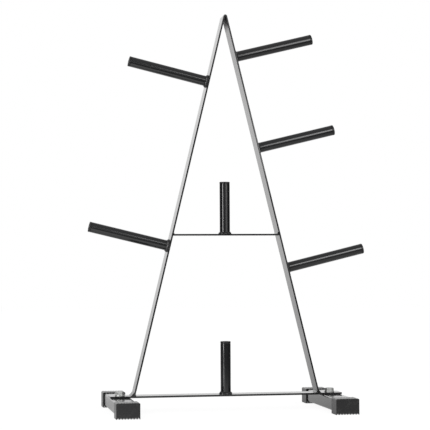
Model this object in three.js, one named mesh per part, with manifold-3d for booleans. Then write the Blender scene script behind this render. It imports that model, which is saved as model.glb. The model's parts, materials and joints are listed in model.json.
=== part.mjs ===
// Plate tree: an A-shaped frame of flat bar on two box-section feet, with five slanted pegs and two
// upright posts that hold weight plates. Millimetres, +Z up, +X to the right of someone facing the rack,
// +Y to its back, and the floor at Z = 0.

import * as THREE from 'three';
import { mergeVertices } from 'three/addons/utils/BufferGeometryUtils.js';
import Module from 'manifold-3d';

const wasm = await Module();
wasm.setup();

// The rack as a whole
const rackHeight = 965;
const barDepth = 50;
const edgeChamfer = 0.5;
const seatGap = 0.3;

// A-frame bar, folded over at the apex
const legThickness = 4;
const apexInnerRadius = 0.6;
const legInset = 30.3;

// Base bar and upper crossbar
const baseBarThickness = 4.5;
const crossbarThickness = 4;
const crossbarHeight = 427;
const baseBarOverhang = 1;
const barCornerRadius = 1.5;

// Feet
const footSpacing = 518;
const footLength = 366;
const footTubeWidth = 50;
const footTubeHeight = 30;
const footTubeWall = 2;
const footTubeCornerRadius = 4;

// Sleeve caps on the ends of the feet
const capLength = 48;
const capSideWall = 2.6;
const capTopWall = 1.2;
const capFloorWall = 1.3;
const capEndWall = 3;
const capRibHeight = 0.9;
const capRibCount = 8;
const toothCount = 9;
const toothDepth = 3.8;
const toothTipWidth = 1.2;
const toothRootWidth = 2.4;
const capCornerRadius = 1.6;
const capEdgeChamfer = 0.45;

// Pegs and posts: round tube, with the pegs' places measured down from the apex
const pegDiameter = 25;
const pegWall = 1.5;
const pegTubeLength = 192;
const postTubeLength = 122;
const leftUpperPegDrop = 162;
const leftPegSpacing = 402;
const rightUpperPegDrop = 101;
const rightUpperPegSpacing = 224;
const rightLowerPegSpacing = 294;

// Push-in end plugs
const plugFlangeThickness = 5;
const plugEdgeChamfer = 1.2;
const plugStemLength = 16;
const plugStemClearance = 1.1;
const plugBarbOffset = 5;
const plugWall = 2.2;

// Weld beads
const tubeWeldWidth = 3.6;
const tubeWeldHeight = 5.5;
const legOuterWeldWidth = 6.5;
const legOuterWeldHeight = 10;
const legInnerWeldWidth = 3.5;
const legInnerWeldHeight = 4.5;
const crossbarWeldWidth = 3.8;
const crossbarWeldHeight = 5;
const weldEndSetback = 2;
const fullBeadPower = 1.4;
const hollowBeadPower = 2.4;
const weldCrownSteps = 3;

// Foot bolts, washers and the nuts welded inside the foot tubes
const boltDiameter = 12;
const boltHeadAcrossFlats = 19;
const boltHeadHeight = 7.5;
const boltEndProjection = 4;
const boltTipChamfer = 0.8;
const boltHoleClearance = 0.5;
const threadClearance = 0.3;
const washerDiameter = 24;
const washerThickness = 2.5;
const nutAcrossFlats = 19;
const nutHeight = 10;
const hexChamferTopShare = 0.94;
const hexChamferDegrees = 30;

// How far a cutting body runs past what it cuts
const cutOverrun = 5;

// How finely curves are cut into flats
const tubeSegments = 32;
const weldSegments = 24;
const boltSegments = 24;
const bendSegments = 14;
const foldSegments = 6;
const cornerSegments = 4;
const ribSegments = 3;

// Levels and angles that follow from the sizes above
const footTubeBottom = toothDepth + capFloorWall + seatGap;
const footTubeTop = footTubeBottom + footTubeHeight;
const baseBarTop = footTubeTop + baseBarThickness;
const baseBarLength = footSpacing + footTubeWidth + 2 * baseBarOverhang;
const boltOffset = footSpacing / 2;
const legFootHalfSpan = boltOffset - legInset;
const apexOuterRadius = apexInnerRadius + legThickness;
const apexCentreRise = rackHeight - apexOuterRadius - baseBarTop;
const legTilt = Math.acos(apexOuterRadius / Math.hypot(legFootHalfSpan, apexCentreRise))
  - Math.atan2(apexCentreRise, legFootHalfSpan);
const legWallAcross = legThickness / Math.cos(legTilt);
const gapAcross = seatGap / Math.cos(legTilt);
const crossbarTop = crossbarHeight + crossbarThickness / 2;
const crossbarBottom = crossbarHeight - crossbarThickness / 2;
const pegRadius = pegDiameter / 2;
const hexChamferSlope = Math.tan(THREE.MathUtils.degToRad(hexChamferDegrees));

const legOuterAt = (height) => legFootHalfSpan - (height - baseBarTop) * Math.tan(legTilt);
const legInnerAt = (height) => legOuterAt(height) - legWallAcross;

const leftUpperPegHeight = rackHeight - leftUpperPegDrop;
const leftLowerPegHeight = leftUpperPegHeight - leftPegSpacing;
const rightUpperPegHeight = rackHeight - rightUpperPegDrop;
const rightMiddlePegHeight = rightUpperPegHeight - rightUpperPegSpacing;
const rightLowerPegHeight = rightMiddlePegHeight - rightLowerPegSpacing;
const leftPegs = { left_upper_peg: leftUpperPegHeight, left_lower_peg: leftLowerPegHeight };
const rightPegs = {
  right_upper_peg: rightUpperPegHeight,
  right_middle_peg: rightMiddlePegHeight,
  right_lower_peg: rightLowerPegHeight,
};

// The lowest peg on each side reaches furthest, and the origin stands midway between those two tips
const leftReach = legOuterAt(Math.min(...Object.values(leftPegs)));
const rightReach = legOuterAt(Math.min(...Object.values(rightPegs)));
const centringShift = (leftReach - rightReach) / 2;

// Finishes
const blackCoat = new THREE.MeshStandardMaterial({ color: 0x1b1c1e, roughness: 0.32, metalness: 0.0 });
const coatedWeld = new THREE.MeshStandardMaterial({ color: 0x17181a, roughness: 0.4, metalness: 0.0 });
const plugPlastic = new THREE.MeshStandardMaterial({ color: 0x151516, roughness: 0.5, metalness: 0.0 });
const capPlastic = new THREE.MeshStandardMaterial({ color: 0x242424, roughness: 0.6, metalness: 0.0 });
const zincPlate = new THREE.MeshStandardMaterial({ color: 0xc9cac6, roughness: 0.3, metalness: 1.0 });

// Geometry helpers

// Shares the vertices of a geometry and drops the slivers that a profile leaves on its axis
function weldVertices(geometry) {
  geometry.deleteAttribute('normal');
  geometry.deleteAttribute('uv');
  const merged = mergeVertices(geometry);
  const index = Array.from(merged.index.array);
  const kept = [];
  for (let i = 0; i < index.length; i += 3) {
    const [a, b, c] = index.slice(i, i + 3);
    if (a !== b && b !== c && c !== a) {
      kept.push(a, b, c);
    }
  }
  merged.setIndex(kept);
  return merged;
}

function toSolid(geometry) {
  const merged = weldVertices(geometry);
  const mesh = new wasm.Mesh({
    numProp: 3,
    vertProperties: new Float32Array(merged.attributes.position.array),
    triVerts: new Uint32Array(merged.index.array),
  });
  return new wasm.Manifold(mesh);
}

function toGeometry(solid) {
  const mesh = solid.getMesh();
  const geometry = new THREE.BufferGeometry();
  geometry.setAttribute('position', new THREE.BufferAttribute(new Float32Array(mesh.vertProperties), 3));
  geometry.setIndex(Array.from(mesh.triVerts));
  return geometry;
}

// A turned body about Z, from [radius, height] points that run anticlockwise round its section
function turned(profile, segments) {
  const points = profile.map(([radius, height]) => new THREE.Vector2(radius, height));
  const geometry = new THREE.LatheGeometry(points, segments);
  geometry.rotateX(Math.PI / 2);
  return weldVertices(geometry);
}

// A turned ring whose section closes on itself
function turnedRing(profile, segments) {
  return turned([...profile, profile[0]], segments);
}

// A flat shape drawn in X and Z, centred on Y and as deep as given
function extrudedAlongY(shape, depth, chamfer) {
  const geometry = new THREE.ExtrudeGeometry(shape, {
    depth: depth - 2 * chamfer,
    bevelEnabled: chamfer > 0,
    bevelThickness: chamfer,
    bevelSize: chamfer,
    bevelOffset: -chamfer,
    bevelSegments: 1,
  });
  geometry.translate(0, 0, chamfer - depth / 2);
  geometry.rotateX(Math.PI / 2);
  return weldVertices(geometry);
}

// Points along an arc, both ends included
function arcPoints(x, y, radius, from, to, segments) {
  return Array.from({ length: segments + 1 }, (_, step) => {
    const angle = from + ((to - from) * step) / segments;
    return new THREE.Vector2(x + radius * Math.cos(angle), y + radius * Math.sin(angle));
  });
}

function roundedRectangle(width, height, radius) {
  const right = width / 2 - radius;
  const top = height / 2 - radius;
  const quarter = Math.PI / 2;
  const corners = [[right, top], [-right, top], [-right, -top], [right, -top]];
  return new THREE.Shape(corners.flatMap(([x, y], turn) => (
    arcPoints(x, y, radius, turn * quarter, (turn + 1) * quarter, cornerSegments)
  )));
}

function circlePath(x, y, radius) {
  return new THREE.Path(arcPoints(x, y, radius, 2 * Math.PI, 0, boltSegments).slice(1));
}

function addPiece(parent, name, geometry, material) {
  const mesh = new THREE.Mesh(geometry, material);
  mesh.name = name;
  parent.add(mesh);
  return mesh;
}

// Frame

// The one bar that makes both legs: up the right leg, round the bend, down the left leg and back inside
function aFrameBar() {
  const innerFoot = legFootHalfSpan - legWallAcross;
  const leftTurn = Math.PI - legTilt;
  const shape = new THREE.Shape([
    new THREE.Vector2(legFootHalfSpan, 0),
    ...arcPoints(0, apexCentreRise, apexOuterRadius, legTilt, leftTurn, bendSegments),
    new THREE.Vector2(-legFootHalfSpan, 0),
    new THREE.Vector2(-innerFoot, 0),
    ...arcPoints(0, apexCentreRise, apexInnerRadius, leftTurn, legTilt, foldSegments),
    new THREE.Vector2(innerFoot, 0),
  ]);
  return extrudedAlongY(shape, barDepth, edgeChamfer);
}

// The upper crossbar, mitred to lie between the inner faces of the legs
function upperCrossbar() {
  const topHalf = legInnerAt(crossbarTop) - gapAcross;
  const bottomHalf = legInnerAt(crossbarBottom) - gapAcross;
  const shape = new THREE.Shape([
    new THREE.Vector2(-bottomHalf, -crossbarThickness / 2),
    new THREE.Vector2(bottomHalf, -crossbarThickness / 2),
    new THREE.Vector2(topHalf, crossbarThickness / 2),
    new THREE.Vector2(-topHalf, crossbarThickness / 2),
  ]);
  return extrudedAlongY(shape, barDepth, edgeChamfer);
}

// The base bar, lying flat across both feet with one bolt hole over each
function baseBar() {
  const shape = roundedRectangle(baseBarLength, barDepth, barCornerRadius);
  const holeRadius = boltDiameter / 2 + boltHoleClearance;
  for (const side of [-1, 1]) {
    shape.holes.push(circlePath(side * boltOffset, 0, holeRadius));
  }
  const geometry = new THREE.ExtrudeGeometry(shape, {
    depth: baseBarThickness - 2 * edgeChamfer,
    bevelThickness: edgeChamfer,
    bevelSize: edgeChamfer,
    bevelOffset: -edgeChamfer,
    bevelSegments: 1,
  });
  geometry.translate(0, 0, edgeChamfer);
  return weldVertices(geometry);
}

// Weld beads

// The section of a bead in the corner of two faces that run off along the two given directions. A power
// of one makes its face a full round, two makes it flat, and more makes it hollow.
function weldSection(corner, along, up, width, height, power) {
  const cornerSine = Math.abs(along.x * up.y - along.y * up.x);
  const heel = corner.clone()
    .addScaledVector(along, seatGap / cornerSine)
    .addScaledVector(up, seatGap / cornerSine);
  const points = [heel];
  for (let step = 0; step <= weldCrownSteps; step += 1) {
    const angle = (step / weldCrownSteps) * (Math.PI / 2);
    const out = width * Math.max(Math.cos(angle), 0) ** power;
    const rise = height * Math.sin(angle) ** power;
    points.push(heel.clone().addScaledVector(along, out).addScaledVector(up, rise));
  }
  return points;
}

// The bead round the foot of a peg or post
function tubeWeld() {
  const corner = new THREE.Vector2(pegRadius, 0);
  const along = new THREE.Vector2(1, 0);
  const up = new THREE.Vector2(0, 1);
  const section = weldSection(corner, along, up, tubeWeldWidth, tubeWeldHeight, fullBeadPower);
  return turnedRing(section.map((point) => [point.x, point.y]), weldSegments);
}

// A straight bead along a joint, as deep as the bars less a setback at each end
function straightWeld(corner, along, up, width, height) {
  const section = weldSection(corner, along, up, width, height, hollowBeadPower);
  if (THREE.ShapeUtils.isClockWise(section)) {
    section.reverse();
  }
  return extrudedAlongY(new THREE.Shape(section), barDepth - 2 * weldEndSetback, 0);
}

function addLegWelds(parent, sideName, side) {
  const up = new THREE.Vector2(-side * Math.sin(legTilt), Math.cos(legTilt));
  const outward = new THREE.Vector2(side, 0);
  const inward = new THREE.Vector2(-side, 0);
  const outerCorner = new THREE.Vector2(side * legFootHalfSpan, 0);
  const innerCorner = new THREE.Vector2(side * (legFootHalfSpan - legWallAcross), 0);
  const crossbarCorner = new THREE.Vector2(side * legInnerAt(crossbarTop), 0);
  const outer = straightWeld(outerCorner, outward, up, legOuterWeldWidth, legOuterWeldHeight);
  const inner = straightWeld(innerCorner, inward, up, legInnerWeldWidth, legInnerWeldHeight);
  const above = straightWeld(crossbarCorner, inward, up, crossbarWeldWidth, crossbarWeldHeight);
  addPiece(parent, `${sideName}_leg_outer_weld`, outer, coatedWeld).position.z = baseBarTop;
  addPiece(parent, `${sideName}_leg_inner_weld`, inner, coatedWeld).position.z = baseBarTop;
  addPiece(parent, `${sideName}_crossbar_weld`, above, coatedWeld).position.z = crossbarTop;
}

// Pegs, posts and plugs

function roundTube(length) {
  const bore = pegRadius - pegWall;
  return turnedRing([[bore, 0], [pegRadius, 0], [pegRadius, length], [bore, length]], tubeSegments);
}

// A push-in plug: a flange as wide as the tube, and a hollow stem with one barb that grips the bore
function endPlug() {
  const barb = pegRadius - pegWall - seatGap;
  const stem = pegRadius - pegWall - plugStemClearance;
  return turned([
    [0, -plugWall],
    [stem - plugWall, -plugWall],
    [stem - plugWall, -plugStemLength],
    [stem, -plugStemLength],
    [barb, -plugBarbOffset],
    [stem, -plugBarbOffset],
    [stem, 0],
    [pegRadius, 0],
    [pegRadius, plugFlangeThickness - plugEdgeChamfer],
    [pegRadius - plugEdgeChamfer, plugFlangeThickness],
    [0, plugFlangeThickness],
  ], tubeSegments);
}

// A tube that stands on the parent's XY plane, with its weld bead and its end plug
function addPlateHolder(parent, name, tubeLength) {
  addPiece(parent, name, roundTube(tubeLength), blackCoat).position.z = seatGap;
  addPiece(parent, `${name}_weld`, tubeWeld(), coatedWeld);
  const plug = addPiece(parent, `${name}_plug`, endPlug(), plugPlastic);
  plug.position.z = seatGap + tubeLength + seatGap;
}

// One leg's pegs, each square to the outer face of the leg
function addPegs(parent, pegs) {
  const legFace = new THREE.Group();
  legFace.position.set(legFootHalfSpan, 0, baseBarTop);
  legFace.rotation.y = -legTilt;
  parent.add(legFace);
  for (const [name, height] of Object.entries(pegs)) {
    const seat = new THREE.Group();
    seat.position.z = (height - baseBarTop) / Math.cos(legTilt);
    seat.rotation.y = Math.PI / 2;
    legFace.add(seat);
    addPlateHolder(seat, name, pegTubeLength);
  }
}

function addPost(parent, name, level) {
  const seat = new THREE.Group();
  seat.position.z = level;
  parent.add(seat);
  addPlateHolder(seat, name, postTubeLength);
}

// Feet

// The box-section tube of a foot, with the bolt's hole through its top wall
function footTube() {
  const shape = roundedRectangle(footTubeWidth, footTubeHeight, footTubeCornerRadius);
  const innerWidth = footTubeWidth - 2 * footTubeWall;
  const innerHeight = footTubeHeight - 2 * footTubeWall;
  shape.holes.push(roundedRectangle(innerWidth, innerHeight, footTubeCornerRadius - footTubeWall));
  const tubeLength = footLength - 2 * (capEndWall + seatGap);
  const tube = toSolid(extrudedAlongY(shape, tubeLength, 0));
  const holeRadius = boltDiameter / 2 + boltHoleClearance;
  const drill = new THREE.CylinderGeometry(holeRadius, holeRadius, 2 * cutOverrun, boltSegments);
  drill.rotateX(Math.PI / 2);
  drill.translate(0, 0, footTubeHeight / 2);
  return toGeometry(tube.subtract(toSolid(drill)));
}

// The outline of a cap: gripping teeth below, low rounded ribs above. Its lowest point is at zero.
function capOutline(width, ribRoot) {
  const half = width / 2;
  const points = [];
  const pitch = (width - toothTipWidth) / (toothCount - 1);
  for (let tooth = 0; tooth < toothCount; tooth += 1) {
    const tip = -half + toothTipWidth / 2 + tooth * pitch;
    points.push(new THREE.Vector2(tip - toothTipWidth / 2, 0));
    points.push(new THREE.Vector2(tip + toothTipWidth / 2, 0));
    if (tooth < toothCount - 1) {
      points.push(new THREE.Vector2(tip + pitch / 2 - toothRootWidth / 2, toothDepth));
      points.push(new THREE.Vector2(tip + pitch / 2 + toothRootWidth / 2, toothDepth));
    }
  }
  const ribWidth = (width - 2 * capCornerRadius) / capRibCount;
  points.push(new THREE.Vector2(half, ribRoot - capCornerRadius));
  for (let rib = 0; rib < capRibCount; rib += 1) {
    const start = half - capCornerRadius - rib * ribWidth;
    for (let step = 0; step < ribSegments; step += 1) {
      const turn = (step / ribSegments) * Math.PI;
      const across = start - (ribWidth * (1 - Math.cos(turn))) / 2;
      points.push(new THREE.Vector2(across, ribRoot + capRibHeight * Math.sin(turn)));
    }
  }
  points.push(new THREE.Vector2(capCornerRadius - half, ribRoot));
  points.push(new THREE.Vector2(-half, ribRoot - capCornerRadius));
  return new THREE.Shape(points);
}

// A sleeve cap, closed at its front (-Y) end, with its floor teeth at Z = 0
function footCap() {
  const pocketWidth = footTubeWidth + 2 * seatGap;
  const pocketHeight = footTubeHeight + 2 * seatGap;
  const pocketBottom = toothDepth + capFloorWall;
  const outline = capOutline(pocketWidth + 2 * capSideWall, pocketBottom + pocketHeight + capTopWall);
  const body = toSolid(extrudedAlongY(outline, capLength, capEdgeChamfer));
  const pocketShape = roundedRectangle(pocketWidth, pocketHeight, footTubeCornerRadius);
  const pocket = extrudedAlongY(pocketShape, capLength, 0);
  pocket.translate(0, capEndWall, pocketBottom + pocketHeight / 2);
  return toGeometry(body.subtract(toSolid(pocket)));
}

// A hexagon with its top corners turned off, standing on Z = 0
function chamferedHexagon(acrossFlats, height) {
  const cornerRadius = acrossFlats / Math.sqrt(3);
  const hexagon = new THREE.CylinderGeometry(cornerRadius, cornerRadius, height, 6);
  hexagon.rotateX(Math.PI / 2);
  hexagon.translate(0, 0, height / 2);
  const topRadius = (acrossFlats / 2) * hexChamferTopShare;
  const rimRadius = cornerRadius + cutOverrun;
  const rimHeight = height - (rimRadius - topRadius) * hexChamferSlope;
  const skirt = Math.min(rimHeight, 0) - cutOverrun;
  const cone = turned([
    [0, skirt],
    [rimRadius, skirt],
    [rimRadius, rimHeight],
    [topRadius, height],
    [0, height],
  ], 2 * boltSegments);
  return toSolid(hexagon).intersect(toSolid(cone));
}

// The bolt stands with the underside of its head on Z = 0
function footBolt() {
  const grip = washerThickness + baseBarThickness + footTubeWall;
  const reach = grip + nutHeight + boltEndProjection;
  const radius = boltDiameter / 2;
  const tipRadius = radius - boltTipChamfer;
  const shank = turned([
    [0, -reach],
    [tipRadius, -reach],
    [radius, boltTipChamfer - reach],
    [radius, boltHeadHeight / 2],
    [0, boltHeadHeight / 2],
  ], boltSegments);
  return toGeometry(chamferedHexagon(boltHeadAcrossFlats, boltHeadHeight).add(toSolid(shank)));
}

function flatWasher() {
  const bore = boltDiameter / 2 + boltHoleClearance;
  const rim = washerDiameter / 2;
  return turnedRing([
    [bore, 0],
    [rim, 0],
    [rim, washerThickness - edgeChamfer],
    [rim - edgeChamfer, washerThickness],
    [bore, washerThickness],
  ], boltSegments);
}

// The nut hangs from the top wall of the foot tube, with its chamfered end down
function weldNut() {
  const bore = boltDiameter / 2 + threadClearance;
  const drill = new THREE.CylinderGeometry(bore, bore, 2 * (nutHeight + cutOverrun), boltSegments);
  drill.rotateX(Math.PI / 2);
  const nut = toGeometry(chamferedHexagon(nutAcrossFlats, nutHeight).subtract(toSolid(drill)));
  nut.rotateX(Math.PI);
  return nut;
}

function addFoot(parent, sideName, side) {
  const foot = new THREE.Group();
  foot.position.x = side * boltOffset;
  parent.add(foot);
  const tube = addPiece(foot, `${sideName}_foot_tube`, footTube(), blackCoat);
  tube.position.z = footTubeBottom + footTubeHeight / 2;
  const capMiddle = footLength / 2 - capLength / 2;
  addPiece(foot, `${sideName}_front_foot_cap`, footCap(), capPlastic).position.y = -capMiddle;
  const rearCap = addPiece(foot, `${sideName}_rear_foot_cap`, footCap(), capPlastic);
  rearCap.position.y = capMiddle;
  rearCap.rotation.z = Math.PI;
  addPiece(foot, `${sideName}_foot_washer`, flatWasher(), zincPlate).position.z = baseBarTop;
  const bolt = addPiece(foot, `${sideName}_foot_bolt`, footBolt(), zincPlate);
  bolt.position.z = baseBarTop + washerThickness;
  addPiece(foot, `${sideName}_foot_nut`, weldNut(), zincPlate).position.z = footTubeTop - footTubeWall;
}

// Assembly

const plateTree = new THREE.Group();
const rack = new THREE.Group();
rack.position.x = centringShift;
plateTree.add(rack);

addPiece(rack, 'a_frame_bar', aFrameBar(), blackCoat).position.z = baseBarTop;
addPiece(rack, 'upper_crossbar', upperCrossbar(), blackCoat).position.z = crossbarHeight;
addPiece(rack, 'base_bar', baseBar(), blackCoat).position.z = footTubeTop;
addPost(rack, 'upper_post', crossbarTop);
addPost(rack, 'lower_post', baseBarTop);

const leftSide = new THREE.Group();
leftSide.rotation.z = Math.PI;
rack.add(leftSide);
addPegs(leftSide, leftPegs);
addPegs(rack, rightPegs);

for (const [sideName, side] of [['left', -1], ['right', 1]]) {
  addLegWelds(rack, sideName, side);
  addFoot(rack, sideName, side);
}

export default plateTree;
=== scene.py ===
"""Plate tree: the finished look of an A-shaped storage rack for weight plates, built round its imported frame.

Lengths are in metres. +Z is up, +X is to the right of someone facing the rack, and +Y is to its back.
"""

import json
import logging
import math
import random
from collections.abc import Callable, Iterable, Sequence
from dataclasses import dataclass, field
from enum import Enum
from functools import cached_property, reduce

import bmesh
import bpy
from mathutils import Matrix, Vector


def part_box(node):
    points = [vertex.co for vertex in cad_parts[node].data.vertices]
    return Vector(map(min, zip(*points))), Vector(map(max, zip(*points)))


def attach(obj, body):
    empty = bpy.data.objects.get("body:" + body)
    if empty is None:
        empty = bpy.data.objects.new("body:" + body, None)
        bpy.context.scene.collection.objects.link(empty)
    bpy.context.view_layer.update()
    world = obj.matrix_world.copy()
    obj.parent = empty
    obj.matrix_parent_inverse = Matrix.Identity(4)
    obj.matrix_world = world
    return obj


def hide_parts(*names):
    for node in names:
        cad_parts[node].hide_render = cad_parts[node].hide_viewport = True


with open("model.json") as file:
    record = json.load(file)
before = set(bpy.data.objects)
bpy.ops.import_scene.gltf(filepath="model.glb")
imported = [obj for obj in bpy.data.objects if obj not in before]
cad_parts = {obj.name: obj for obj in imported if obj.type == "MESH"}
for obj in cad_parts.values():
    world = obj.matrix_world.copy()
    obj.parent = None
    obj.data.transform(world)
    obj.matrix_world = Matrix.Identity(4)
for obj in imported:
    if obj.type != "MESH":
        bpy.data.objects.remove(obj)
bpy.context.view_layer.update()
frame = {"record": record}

log = logging.getLogger("plate_tree")

BODY = "root"
QUARTER = math.pi / 2
SMOOTH_LIMIT = math.radians(32)
HIDDEN_SEAT = 0.0003
BOLT_HOLE_RADIUS = 0.0065
PEG_LENGTH = 0.192
POST_LENGTH = 0.122
PEGS = ("left_upper", "left_lower", "right_upper", "right_middle", "right_lower")
POSTS = ("upper", "lower")
HOLDER_LENGTHS = {
    **{f"{place}_peg": PEG_LENGTH for place in PEGS},
    **{f"{place}_post": POST_LENGTH for place in POSTS},
}
FIRST_HOLDER_SEED = 41
ROUND_STEPS = 96
BOLT_STEPS = 72
RIM_STEPS = 3
# Where a colour mix keeps its two colours, among its inputs, and its result, among its outputs
MIX_FIRST, MIX_SECOND, MIX_RESULT = 6, 7, 2

Colour = tuple[float, float, float]
Place = tuple[float, float, float]
Span = tuple[float, float]
VertexLoop = list[bmesh.types.BMVert]
Outputs = bpy.types.NodeOutputs
Socket = bpy.types.NodeSocket
Value = float | Socket
Sockets = dict[str | int, Value | Sequence[float]]
Piece = bpy.types.Object


class Way(Enum):
    """A way along one axis of the rack, with the axis's sign as its value."""

    @property
    def word(self) -> str:
        """Its name as the frame's nodes spell it."""
        return self.name.lower()


class Side(Way):
    """The two sides of the rack, along X."""

    LEFT = -1
    RIGHT = 1


class End(Way):
    """The two ends of a foot, along Y."""

    FRONT = -1
    REAR = 1


class Crown(Enum):
    """How full a weld bead's face is: one is a full round, two is flat, and more is hollow."""

    FULL = 1.4
    HOLLOW = 2.4


class NodeBox:
    """The box round one of the frame's nodes."""

    def __init__(self, node: str) -> None:
        """Reads the node's lowest and highest corners."""
        self.low, self.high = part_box(node)
        self.size, self.middle = self.high - self.low, (self.low + self.high) / 2


# Outlines


@dataclass(frozen=True)
class Corner:
    """A corner of an outline, with the radius that rounds it."""

    x: float
    y: float
    radius: float = 0.0


def rounded(corners: Sequence[Corner], steps: int = 4, closed: bool = True) -> list[Vector]:
    """Turns corners into the points of an outline.

    Args:
        corners: The corners in order.
        steps: How many flats make each rounded corner.
        closed: Whether the last corner runs on to the first. The two ends of an open outline stay sharp.

    Returns:
        The outline's points in order, with an arc for each corner that has a radius.
    """
    sharp = [Vector((corner.x, corner.y)) for corner in corners]
    points: list[Vector] = []
    for index, (corner, here) in enumerate(zip(corners, sharp)):
        if corner.radius <= 0 or (not closed and index in (0, len(corners) - 1)):
            points.append(here)
            continue
        back = (sharp[index - 1] - here).normalized()
        ahead = (sharp[(index + 1) % len(sharp)] - here).normalized()
        half = back.angle(ahead) / 2
        centre = here + (back + ahead).normalized() * corner.radius / math.sin(half)
        start = here + back * corner.radius / math.tan(half) - centre
        turn = math.copysign(math.pi - 2 * half, back.y * ahead.x - back.x * ahead.y)
        points += [centre + Matrix.Rotation(turn * step / steps, 2) @ start for step in range(steps + 1)]
    return points


def rounded_rectangle(width: float, height: float, radius: float, steps: int) -> list[Vector]:
    """Draws a rectangle with rounded corners, anticlockwise about the origin."""
    signs = ((1, 1), (-1, 1), (-1, -1), (1, -1))
    return rounded([Corner(x * width / 2, y * height / 2, radius) for x, y in signs], steps)


def arc(centre: Vector, wide: float, high: float, turns: Span, steps: int) -> list[Vector]:
    """Draws an ellipse from one angle to another, in flats, without its last point."""
    angles = (turns[0] + (turns[1] - turns[0]) * step / steps for step in range(steps))
    return [centre + Vector((wide * math.cos(angle), high * math.sin(angle))) for angle in angles]


def circle(radius: float, steps: int, centre_x: float = 0.0) -> list[Vector]:
    """Draws a circle on the X axis, anticlockwise, with its first point towards +X."""
    return arc(Vector((centre_x, 0)), radius, radius, (0, math.tau), steps)


def ring(bore: float, radius: float, levels: Span, rims: Span) -> list[Vector]:
    """Draws the section of a ring, with the radius of its rims at each level."""
    corners = ((bore, 0), (radius, 0), (radius, 1), (bore, 1))
    return rounded([Corner(x, levels[end], rims[end]) for x, end in corners])


def inset(outline: Sequence[Vector], distance: float) -> list[Vector]:
    """Moves a closed outline towards its left-hand side, with mitred corners.

    Args:
        outline: The points, anticlockwise round material or clockwise round a hole in it.
        distance: How far the outline moves into the material.

    Returns:
        As many points, moved.
    """
    moved = []
    for index, point in enumerate(outline):
        back = (point - outline[index - 1]).normalized()
        ahead = (outline[(index + 1) % len(outline)] - point).normalized()
        inward = (back + ahead).orthogonal().normalized()
        moved.append(point + inward * distance / inward.dot(ahead.orthogonal()))
    return moved


# Meshes


def placed(name: str, data: bpy.types.ID) -> Piece:
    """Puts an object into the scene.

    Args:
        name: The object's name.
        data: Its mesh, lamp or camera.

    Returns:
        The object.
    """
    thing = bpy.data.objects.new(name, data)
    bpy.context.scene.collection.objects.link(thing)
    return thing


def dress(piece: Piece, finish: "Finish", node: str) -> None:
    """Gives a piece of the rack its shading and its place in the frame.

    Args:
        piece: The piece.
        finish: What it is finished in.
        node: The frame's node that it stands for.
    """
    piece.data.shade_smooth()
    piece.data.set_sharp_from_angle(angle=SMOOTH_LIMIT)
    piece.modifiers.new("flat faces stay flat", "WEIGHTED_NORMAL").keep_sharp = True
    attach(piece, BODY)
    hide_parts(node)
    log.info("%s: %d faces in %s", piece.name, len(piece.data.polygons), finish.name)


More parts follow.
